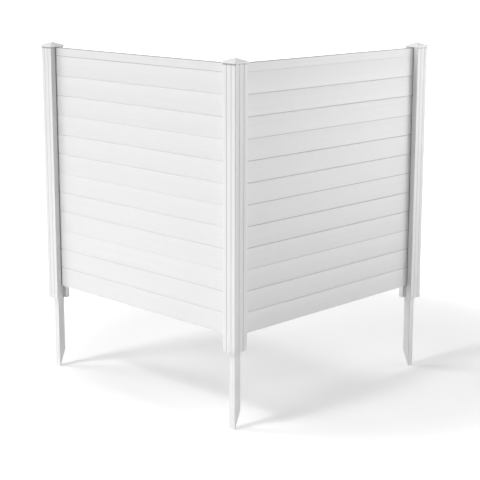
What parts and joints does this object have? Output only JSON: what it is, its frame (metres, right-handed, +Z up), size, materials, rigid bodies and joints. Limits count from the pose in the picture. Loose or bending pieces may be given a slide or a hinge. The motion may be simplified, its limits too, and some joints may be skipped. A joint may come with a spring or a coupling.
{
  "type": "privacy fence panel",
  "caption": "Corner privacy fence: solid tongue and groove board panels let into slotted square posts with pyramid caps, standing on chisel-pointed ground stakes.",
  "frame": {"origin": "centre of the footprint at the level of the stake tips", "axes": "+Z up; the corner post stands at the -X -Y corner, the left panel runs from it along +Y and the right panel along +X"},
  "size_m": [1.3346, 1.3346, 1.6373],
  "materials": {
    "post_vinyl": "white extruded vinyl, satin",
    "board_vinyl": "white extruded vinyl, satin",
    "rail_vinyl": "white extruded vinyl, satin",
    "cap_vinyl": "white moulded vinyl, satin",
    "stake_vinyl": "white extruded vinyl, satin",
    "screw_steel": "white painted head, steel shank"
  },
  "bodies": {
    "fence": {"corner_post": "post_vinyl", "left_post": "post_vinyl", "right_post": "post_vinyl", "corner_stake": "stake_vinyl", "left_stake": "stake_vinyl", "right_stake": "stake_vinyl", "left_board_1": "board_vinyl", "left_board_2": "board_vinyl", "left_board_3": "board_vinyl", "left_board_4": "board_vinyl", "right_board_1": "board_vinyl", "right_board_2": "board_vinyl", "right_board_3": "board_vinyl", "right_board_4": "board_vinyl", "left_top_rail": "rail_vinyl", "right_top_rail": "rail_vinyl", "panel_screws": "screw_steel", "stake_screws": "screw_steel"},
    "corner_cap": {"corner_cap": "cap_vinyl"},
    "left_cap": {"left_cap": "cap_vinyl"},
    "right_cap": {"right_cap": "cap_vinyl"}
  },
  "joints": [
    {"name": "corner_cap_lift", "type": "slide", "parent": "fence", "child": "corner_cap", "axis": [0, 0, 1], "range_m": [0, 0.03]},
    {"name": "left_cap_lift", "type": "slide", "parent": "fence", "child": "left_cap", "axis": [0, 0, 1], "range_m": [0, 0.03]},
    {"name": "right_cap_lift", "type": "slide", "parent": "fence", "child": "right_cap", "axis": [0, 0, 1], "range_m": [0, 0.03]}
  ]
}
